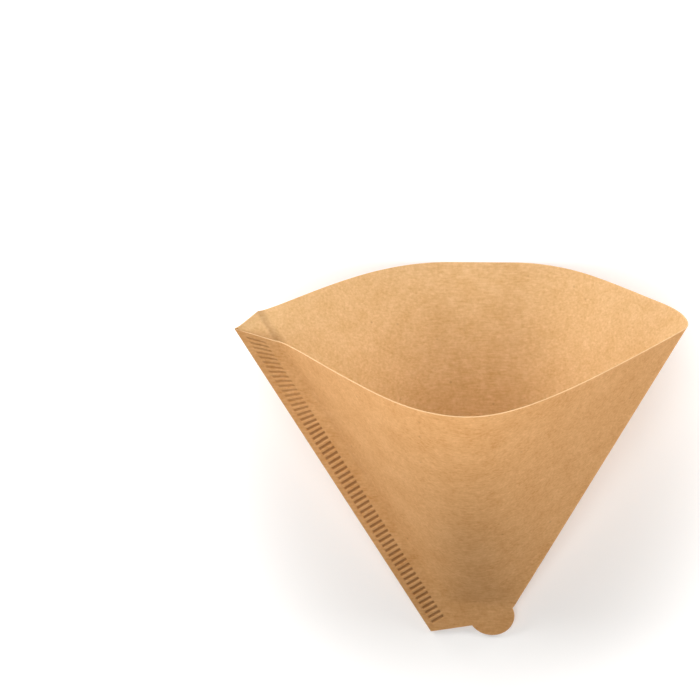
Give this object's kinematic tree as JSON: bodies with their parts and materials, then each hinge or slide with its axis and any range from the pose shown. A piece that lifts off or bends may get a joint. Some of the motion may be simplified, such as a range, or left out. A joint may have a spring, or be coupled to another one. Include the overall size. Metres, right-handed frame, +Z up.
{
  "type": "cone coffee filter",
  "caption": "Opened cone coffee filter of unbleached kraft paper, folded along one side and crimped along the other, with a pressed tip and a round tab. It lies on its tip and the rim of its back wall.",
  "frame": {"origin": "on the floor, under the middle of the bounding box", "axes": "+X from the crimped seam to the plain fold, +Y from the tip to the mouth, +Z up from the floor the filter lies on"},
  "size_m": [0.1214, 0.106, 0.0849],
  "materials": {
    "kraft_paper": "matt, fibrous, uncoated"
  },
  "bodies": {
    "root": {"filter_paper": "kraft_paper"}
  },
  "joints": []
}
